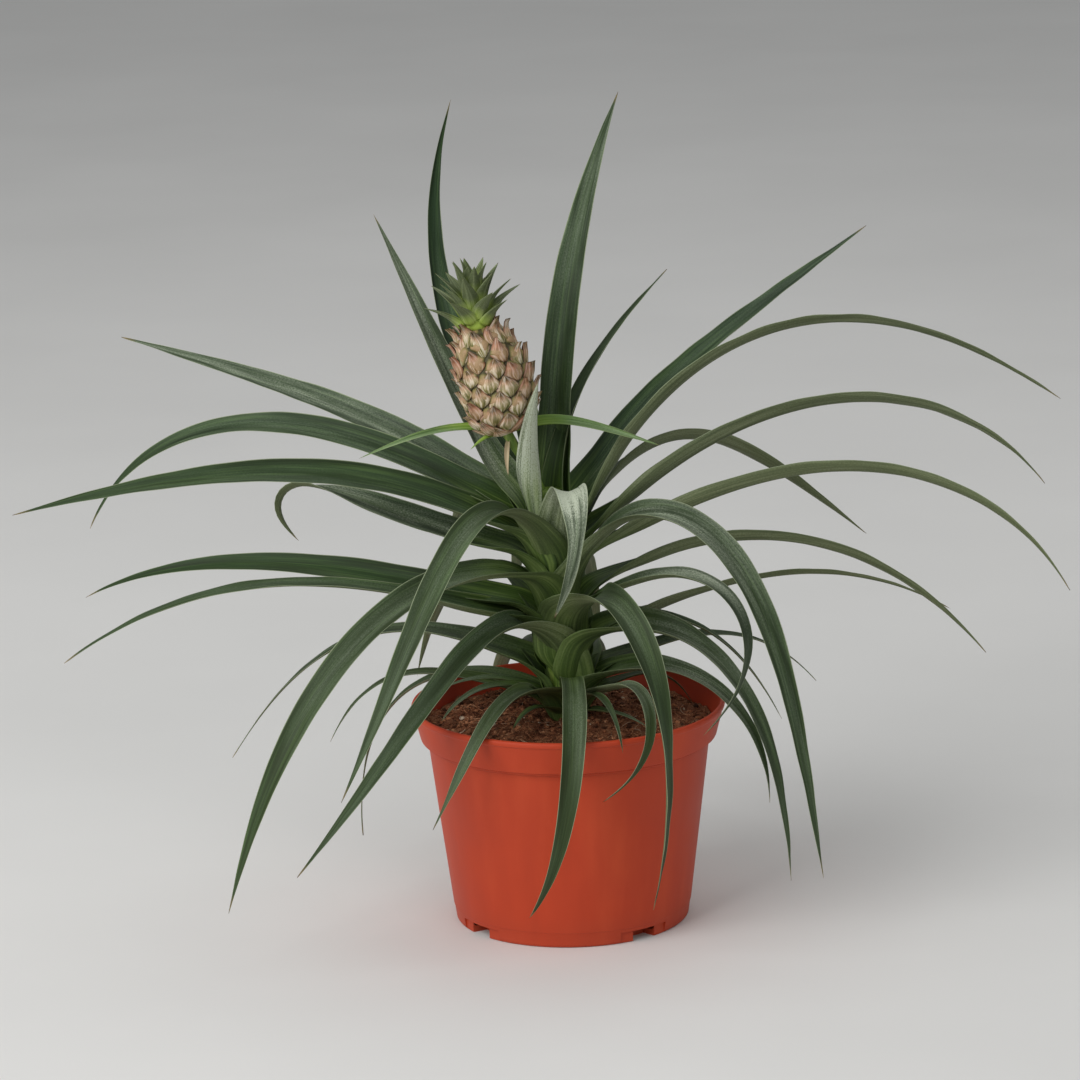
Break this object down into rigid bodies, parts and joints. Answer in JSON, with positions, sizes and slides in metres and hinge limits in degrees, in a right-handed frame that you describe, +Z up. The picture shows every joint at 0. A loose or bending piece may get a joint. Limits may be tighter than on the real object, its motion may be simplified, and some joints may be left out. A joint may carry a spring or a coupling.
{
  "type": "potted pineapple plant",
  "caption": "Potted pineapple plant: a wide rosette of long arching channelled leaves round a short stem, with one small crowned fruit on a stalk, in a tapered plastic nursery pot",
  "frame": {"origin": "the middle of the pot's flat underside, on the surface that the pot stands on", "axes": "+Z up, +X along the widest spread of the leaves, away from the side that the fruit leans to, +Y to the back, so that the fruit stands in front of the tallest leaves seen from -Y"},
  "size_m": [0.5028, 0.3118, 0.3854],
  "materials": {
    "pot_plastic": "terracotta-orange moulded plastic, matt with a faint sheen",
    "peat_soil": "damp reddish-brown peat, loose and fibrous",
    "stem_tissue": "pale yellow-green fleshy stem, satin",
    "leaf_blade": "tough dark green blade with fine lengthwise lines, waxy above and scurfy grey-green below",
    "stalk": "smooth yellow-green stalk",
    "bract": "thin bright green bract, one of them dried pale",
    "fruit_skin": "young beige-pink skin in spiral eyes with green-brown borders and small pointed bracts",
    "crown_leaf": "small pointed leaves, yellow-green at the base and grey-green above"
  },
  "bodies": {
    "root": {"pot": "pot_plastic", "stem": "stem_tissue", "soil": "peat_soil", "fruit_stalk": "stalk", "fruit": "fruit_skin", "leaf_heart_pale": "leaf_blade", "leaf_heart_narrow": "leaf_blade", "leaf_upright_1": "leaf_blade", "leaf_upright_2": "leaf_blade", "leaf_upright_3": "leaf_blade", "leaf_upright_4": "leaf_blade", "leaf_left_01": "leaf_blade", "leaf_left_02": "leaf_blade", "leaf_right_01": "leaf_blade", "leaf_right_02": "leaf_blade", "leaf_right_03": "leaf_blade", "leaf_back_1": "leaf_blade", "leaf_left_03": "leaf_blade", "leaf_right_04": "leaf_blade", "leaf_left_04": "leaf_blade", "leaf_left_05": "leaf_blade", "leaf_centre": "leaf_blade", "leaf_right_05": "leaf_blade", "leaf_back_2": "leaf_blade", "leaf_back_3": "leaf_blade", "leaf_left_06": "leaf_blade", "leaf_right_06": "leaf_blade", "leaf_right_07": "leaf_blade", "leaf_left_07": "leaf_blade", "leaf_right_08": "leaf_blade", "leaf_left_08": "leaf_blade", "leaf_back_4": "leaf_blade", "leaf_back_5": "leaf_blade", "leaf_right_09": "leaf_blade", "leaf_right_10": "leaf_blade", "leaf_back_6": "leaf_blade", "leaf_right_11": "leaf_blade", "leaf_right_12": "leaf_blade", "leaf_left_09": "leaf_blade", "leaf_left_10": "leaf_blade", "leaf_right_13": "leaf_blade", "leaf_back_7": "leaf_blade", "leaf_back_8": "leaf_blade", "leaf_front": "leaf_blade", "leaf_right_14": "leaf_blade", "leaf_left_11": "leaf_blade", "leaf_left_12": "leaf_blade", "leaf_left_13": "leaf_blade", "leaf_right_15": "leaf_blade", "leaf_left_14": "leaf_blade", "leaf_left_15": "leaf_blade", "leaf_right_16": "leaf_blade", "leaf_right_17": "leaf_blade", "leaf_right_18": "leaf_blade", "leaf_left_16": "leaf_blade", "bract_right": "bract", "bract_left": "bract", "bract_small": "bract", "bract_dry": "bract", "crown": "crown_leaf"}
  },
  "joints": []
}
